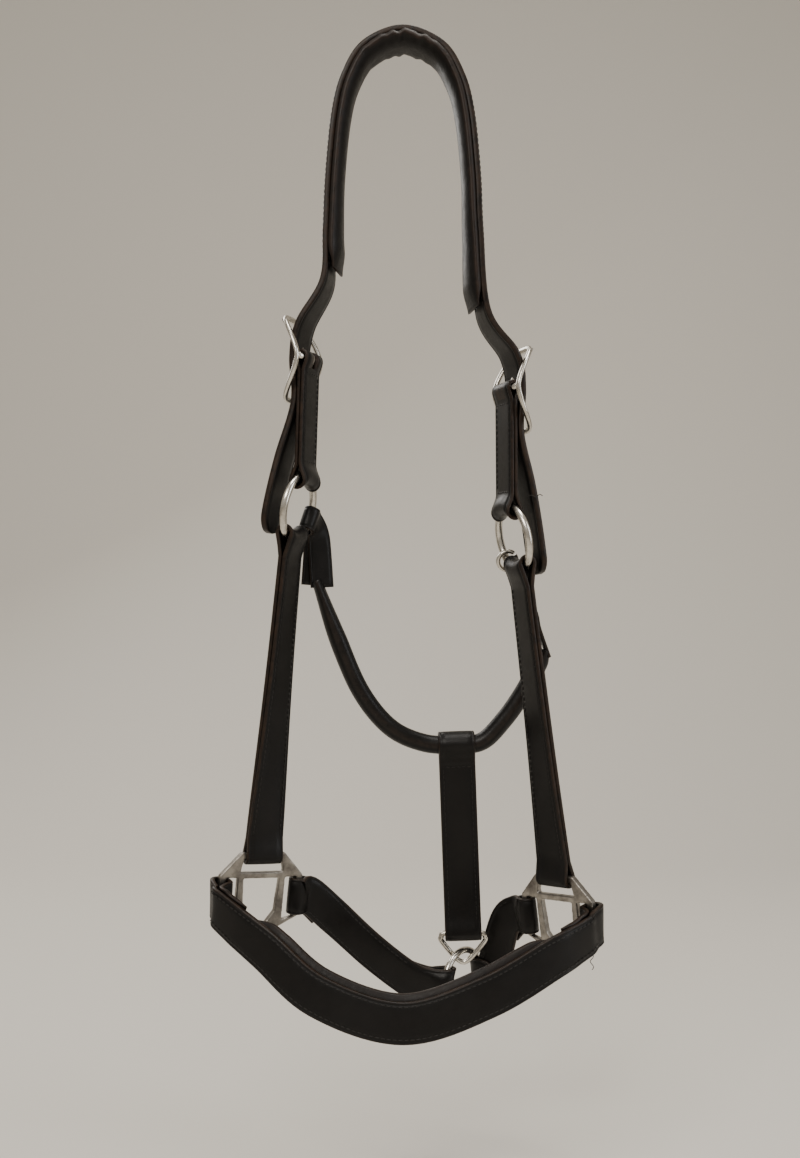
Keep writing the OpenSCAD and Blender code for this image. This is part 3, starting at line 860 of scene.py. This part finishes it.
# Distances from the noseband's ends
NOSE_SKIVED = 9 * MM             # thinned tip
NOSE_SEWN = 54 * MM              # start of the long stitch rows
NOSE_THICKENS = 76 * MM          # end of the turned-back, thinner stretch
NOSE_PADDED = 86 * MM            # start of the lining
NOSE_PAD_W = 27 * MM
NOSE_PAD_T = 8.8 * MM
NOSE_PAD_LIFT = 3.2 * MM         # how far the lining stands above the strap's middle


def nose_half(side):
    """Noseband from its turned-back end, round the side bar, to beside the front."""
    wrap = near_square(side, -1, NOSE_WRAP)
    s = SIGN[side]
    q = SQUARE[side] / MM
    ahead = [mm(s * (abs(q.x) - 6), -44, NOSE_BEND_Z[side]), mm(s * 52, -60, -603)]
    line = resample(smooth(wrap[6:] + ahead + [NOSE_FRONT], 10), 1 * MM)[0]
    along = headings(line)
    tail = []
    for d in NOSE_TAIL:
        n = across(Vector((-s, 0, 0)), along[d])
        tail.append(line[d] + n * (3.3 + 1.6 * ease((22 - d) / 14)) * MM)
    return tail + wrap + ahead


def noseband():
    """Noseband: outer strap, padded lining and stitching."""
    left, right = nose_half(LEFT), nose_half(RIGHT)
    points = left + [NOSE_FRONT] + right[::-1]
    tilt = Vector((0, 0.15, 1))
    wides = [UP] * (len(left) - 2) + [tilt] * 5 + [UP] * (len(right) - 2)
    path, wide = smooth(points, 10), smooth(wides, 10)
    path, wide = resample(path, 1.5 * MM, wide)
    n = len(path)
    far = distances(path)

    def between(d):
        """First and last step of the stretch that keeps d from both ends."""
        return [next(i for i, f in enumerate(far) if f > cut) for cut in (d, far[-1] - d)]
    thick = []
    for d in far:
        e = min(d, far[-1] - d)
        turned_back = 0.74 + 0.26 * ease((e - NOSE_THICKENS) / (10 * MM))
        thick.append(turned_back * (0.35 + 0.65 * ease(e / NOSE_SKIVED)))
    strap = sweep("noseband_leather", path, wide, strap_section(STRAP_W, STRAP_T), thicks=thick)
    finish_piece(strap, "face", BLACK, "black_leather", "noseband_strap")
    lo, hi = between(NOSE_PADDED)
    part, part_w = path[lo:hi], wide[lo:hi]
    along = headings(part)
    m = len(part)
    lining, scale_w, scale_t = [], [], []
    for i, (p, w) in enumerate(zip(part, part_w)):
        nrm = along[i].cross(across(w, along[i]))
        k = min(i, m - 1 - i)
        full = 0.25 + 0.75 * ease(k / 18)
        lining.append(p - nrm * (STRAP_T / 2 + NOSE_PAD_T / 2 * full) + UP * NOSE_PAD_LIFT * ease(k / 24))
        scale_t.append(full)
        scale_w.append(0.7 + 0.3 * ease(k / 14))
    section = pad_section(NOSE_PAD_W, NOSE_PAD_T)
    pad = sweep("noseband_pad", lining, part_w, section, widths=scale_w, thicks=scale_t)
    finish_piece(pad, "face", LINING, "lining_leather", "noseband_lining")
    lo, hi = between(NOSE_SEWN)
    rows = edge_rows(path[lo:hi], wide[lo:hi], STRAP_W, STRAP_T)
    for lo, hi in ((3, 17), (n - 17, n - 3)):
        rows += edge_rows(path[lo:hi], wide[lo:hi], STRAP_W, TURNED_T)
    finish_piece(stitch_rows("noseband_stitches", rows), "face", THREAD, "black_leather")


CHIN_STEPS = 8
CHIN_WRAP = [(3, 22, -11.5), (2.8, 16, -6), (3, 10, -1.8), (4.2, 4, 0), (4.65, 0, 0), (3, -3.6, 0),
             (0, -4.75, 0), (-3, -3.6, 0), (-4.65, 0, 0), (-3.4, 4, 0), (-0.8, 9.3, 0)]
CHIN_MIDDLE = ([mm(-46, 27, -579), mm(-20, 25, -602)], [mm(70, 36, -586)])
# Round the lead ring's wire, as (along the strap, across it, up) in millimetres
LEAD_FOLD = [(24, 1.4, 5), (12, 1.9, 1), (5.5, 3.6, 0), (0.5, 4.5, 0), (-3.2, 3.1, 0), (-4.5, 0, 0),
             (-3.2, -3.1, 0), (0.5, -4.5, 0), (5.5, -3.6, 0), (12, -2, 0.5), (20, -1.9, 3), (27, -1.9, 5.5)]
TAIL_TURN = (175, -44)           # heading of the strap away from the lead ring, in degrees
FOLD_TURN = (1, -1)              # which way round the wire it goes


def lead_fold(side):
    """Strap centre round the lead ring's side, arriving and going back."""
    q = math.radians(LEAD_TURN)
    out = SIGN[side] * Vector((math.cos(q), math.sin(q), 0))
    f = LEAD + LEAD_R * out
    r = math.radians(TAIL_TURN[side])
    d = Vector((math.cos(r), math.sin(r), 0))
    e = Vector((-d.y, d.x, 0))
    return [f + (a * d + b * e * FOLD_TURN[side] + c * UP) * MM for a, b, c in LEAD_FOLD], out


def chin_strap(side):
    """Half of the rear noseband, folded round a square's back bar and round the lead ring."""
    start = near_square(side, 1, CHIN_WRAP)
    fold, out = lead_fold(side)
    points = start + CHIN_MIDDLE[side] + (fold if side == LEFT else fold[1:])
    low = square_frame(side).to_3x3() @ UP
    wides = [low] * len(start) + [UP] * (len(points) - len(start))
    path, wide = smooth(points, CHIN_STEPS), smooth(wides, CHIN_STEPS)
    from_fold = (len(points) - len(LEAD_FOLD)) * CHIN_STEPS

    def bend(i, a):
        """Lets the strap's edges follow the lead ring where it is folded round it."""
        k = ease((i - from_fold) / 24) * (1 - ease((i - from_fold - 60) / 24))
        return -k * out * (LEAD_R - math.sqrt(LEAD_R ** 2 - a * a))
    strap = sweep(NAMES[side] + "_chin_leather", path, wide, strap_section(CHIN_W, CHIN_T), bend=bend)
    finish_piece(strap, "face", BLACK, "black_leather", NAMES[side] + "_chin_strap")
    rows = []
    for lo, hi in ((2, 20), (82, len(path) - 90), (len(path) - 26, len(path) - 3)):
        if hi - lo > 4:
            rows += edge_rows(path[lo:hi], wide[lo:hi], CHIN_W, CHIN_T)
    finish_piece(stitch_rows(NAMES[side] + "_chin_stitches", rows), "face", THREAD, "black_leather")


noseband()
for side in (LEFT, RIGHT):
    chin_strap(side)


# ---- jowl strap ----
def jowl_strap():
    """Doubled strap from the throatlatch down to the link."""
    z = (ROLL_LOW - LINK).normalized()
    y = across(Vector((1, 0, 0)), z)
    x = y.cross(z)
    m = Matrix((x, y, z)).transposed().to_4x4()
    m.translation = ROLL_LOW
    drop = (ROLL_LOW - LINK).length
    outline = fold_outline(ROLL_D / 2 + 0.4 * MM, 2.5 * MM, drop, JOWL_LAYER, 13 * MM)
    strap = folded_strap("jowl_leather", m, outline, STRAP_W, JOWL_LAYER)
    finish_piece(strap, "jowl", BLACK, "black_leather", "jowl_strap")
    rows = doubled_rows(m, -15 * MM, -drop + 8 * MM, STRAP_W, JOWL_LAYER)
    finish_piece(stitch_rows("jowl_stitches", rows), "jowl", THREAD, "black_leather")


jowl_strap()


# ---- throatlatch ----
ROLL_ROUTE = [mm(-59, 30, -349), mm(-45, 31, -388), mm(-29, 33, -425), mm(-9, 36, -450),
              mm(14, 37.5, -461), ROLL_LOW, mm(55, 38, -460), mm(70, 38, -445), mm(82, 38, -428),
              mm(92, 38, -410), mm(98, 38, -397)]
LEFT_TAB_TURN = 76               # places on the cheek rings, in degrees from their lowest points
SNAP_TURN = 50
SNAP_FOOT = mm(93, 33, -383)
EYE_DROP = 41 * MM               # from the cheek ring down to the snap's eye
LEFT_TAB_W = 16 * MM
RIGHT_TAB_W = 12 * MM
TAB_STITCH_IN = 2.4 * MM


def throat_roll():
    """Rolled strap with a seam along its back."""
    path = smooth(ROLL_ROUTE, 12)
    wide = [BACK] * len(path)
    n = len(path)
    widths = [1 + 0.3 * (1 - ease(min(i / 16, (n - 1 - i) / 9))) for i in range(n)]
    thicks = [1 - 0.42 * (1 - ease(min(i / 14, (n - 1 - i) / 9))) for i in range(n)]
    roll = sweep("throatlatch_roll", path, wide, round_section(ROLL_D, 32), widths=widths, thicks=thicks)
    finish_piece(roll, "throat", ROLLED, "rolled_leather", "throat_roll")
    rows = [(path[10:-8], wide[10:-8], ROLL_D / 2 + STITCH_LIFT, 0)]
    finish_piece(stitch_rows("throatlatch_seam", rows), "throat", THREAD, "black_leather")


def throat_tab(name, node, top, tangent, out, hang, end, w, loop_r, single, wide_end):
    """Strap folded round a ring or an eye at top, running down to the roll's end.

    tangent is the wire's direction there, out points away from the wire, and the two layers come
    together at hang. loop_r is the fold's inner radius, single one layer's thickness, and wide_end
    the width direction at the roll.
    """
    n = across(out, tangent)
    m = n.cross(tangent)
    r = loop_r + single / 2
    ring = [r * (m * math.sin(math.radians(a)) - n * math.cos(math.radians(a))) for a in range(-110, 111, 22)]
    rest = single / 2 + 0.15 * MM
    near = [top + n * hang * 0.6 + m * s * (rest + 0.8 * MM) for s in (-1, 1)]
    far = [top + n * hang + m * s * rest + (end - top) * 0.18 for s in (-1, 1)]
    low = [end + m * s * (rest + 2.2 * MM) for s in (-1, 1)]
    points = [low[0], far[0], near[0]] + [top + p for p in ring] + [near[1], far[1], low[1]]
    turn = [wide_end, (tangent + wide_end) / 2, tangent]
    wides = turn + [tangent] * len(ring) + turn[::-1]
    path, wide = smooth(points, 7), smooth(wides, 7)
    tab = sweep(name, path, wide, strap_section(w, single))
    finish_piece(tab, "throat", BLACK, "black_leather", node)
    rows = edge_rows(path[3:17], wide[3:17], w, single, TAB_STITCH_IN)
    finish_piece(stitch_rows(name + "_stitches", rows), "throat", THREAD, "black_leather")


def throat_tabs():
    """The two ends of the throatlatch."""
    top = ring_point(LEFT, LEFT_TAB_TURN)
    tangent = (ring_point(LEFT, LEFT_TAB_TURN + 1) - ring_point(LEFT, LEFT_TAB_TURN - 1)).normalized()
    out = ring_point(LEFT, LEFT_TAB_TURN, 1) - top
    throat_tab("left_throat_leather", "left_throat_tab", top, tangent, out.normalized(), 12 * MM,
               ROLL_ROUTE[0] + mm(0.5, 0, -4), LEFT_TAB_W, RING_WIRE / 2 + 0.4 * MM, 2.5 * MM,
               Vector((1, 0.3, 0.25)).normalized())
    ring = ring_point(RIGHT, SNAP_TURN)
    down = (SNAP_FOOT - ring).normalized()
    eye = ring + down * EYE_DROP
    t = (ring_point(RIGHT, SNAP_TURN + 1) - ring_point(RIGHT, SNAP_TURN - 1)).normalized()
    throat_tab("right_throat_leather", "right_throat_tab", eye, across(t, down), down, 7 * MM,
               ROLL_ROUTE[-1] + mm(-1, 0, -5), RIGHT_TAB_W, 1.6 * MM, 2.4 * MM, BACK)


throat_roll()
throat_tabs()


# ---- loose thread ends ----
def loose_threads():
    """Frayed ends of stitching thread, as on a used headcollar."""
    ends = [("chape_thread", "crown", RING_TOP[RIGHT] + mm(12, -10, 5),
             [(0, 0, 0), (3, -1, 1.5), (6, -2, 0), (8, -2, 2), (10, -3, 1)]),
            ("noseband_thread", "face", near_square(RIGHT, -1, [(-12, 5, -14)])[0],
             [(0, 0, 0), (1, -1, -3), (-1, -1, -6), (1, -2, -9), (0, -2, -11)])]
    for name, body, at, bits in ends:
        path = smooth([at + mm(*b) for b in bits], 5)
        finish_piece(tube(name, path, 0.5 * MM, 6), body, THREAD, "black_leather")


loose_threads()


# ---- stage, light and camera ----
def plain_material(name, colour, rough):
    """Matt studio surface."""
    mat, _, shader = nodes_of(name)
    shader.inputs["Base Color"].default_value = colour
    shader.inputs["Roughness"].default_value = rough
    return mat


FLOOR_DROP = 0.11                # from the headcollar's lowest point to the floor
FLOOR_BEND = 0.9                 # radius of the curve behind, and where it starts


def studio():
    """Pale floor that runs up behind in one curve, and soft lights."""
    floor_z = CAD_BOX[0][2] - FLOOR_DROP
    rows = [(-4, floor_z)]
    for k in range(25):
        q = math.pi / 2 * k / 24
        rows.append((FLOOR_BEND + FLOOR_BEND * math.sin(q), floor_z + FLOOR_BEND * (1 - math.cos(q))))
    rows.append((2 * FLOOR_BEND, 4))
    verts = [(x, y, z) for y, z in rows for x in (-5, 5)]
    faces = [(2 * i, 2 * i + 1, 2 * i + 3, 2 * i + 2) for i in range(len(rows) - 1)]
    floor = new_object("floor", verts, faces)
    floor.data.materials.append(plain_material("pale_floor", (0.66, 0.63, 0.575, 1), 0.9))
    world = bpy.data.worlds.new("studio")
    world.use_nodes = True
    world.node_tree.nodes["Background"].inputs["Color"].default_value = (0.62, 0.58, 0.52, 1)
    world.node_tree.nodes["Background"].inputs["Strength"].default_value = 0.75
    bpy.context.scene.world = world
    # name, place, size, power, colour
    lights = [("key", (-0.5, -1.3, 0.75), (0.9, 0.6), 17, (1.0, 0.95, 0.88)),
              ("top", (0.15, -0.1, 1.0), (0.8, 0.5), 13, (1.0, 0.96, 0.9)),
              ("side", (1.3, -0.5, 0.1), (0.35, 1.2), 7, (0.95, 0.97, 1.0)),
              ("back", (-0.7, 1.0, 0.5), (0.8, 0.8), 8, (1.0, 0.98, 0.95))]
    target = Vector((0, 0, -0.33))
    for name, at, size, power, colour in lights:
        data = bpy.data.lights.new(name, "AREA")
        data.shape = "RECTANGLE"
        data.size, data.size_y = size
        data.energy = power
        data.color = colour
        lamp = bpy.data.objects.new(name, data)
        lamp.location = at
        lamp.rotation_euler = (target - Vector(at)).to_track_quat("-Z", "Y").to_euler()
        bpy.context.scene.collection.objects.link(lamp)


def camera():
    """Level camera in front of the headcollar, at the height of its middle."""
    data = bpy.data.cameras.new("camera")
    data.sensor_width = 36
    data.lens = 37.7
    data.clip_start = 0.02
    cam = bpy.data.objects.new("camera", data)
    cam.location = (-0.002, -0.8, -0.348)
    cam.rotation_euler = (math.radians(90), 0, 0)
    bpy.context.scene.collection.objects.link(cam)
    bpy.context.scene.camera = cam


studio()
camera()
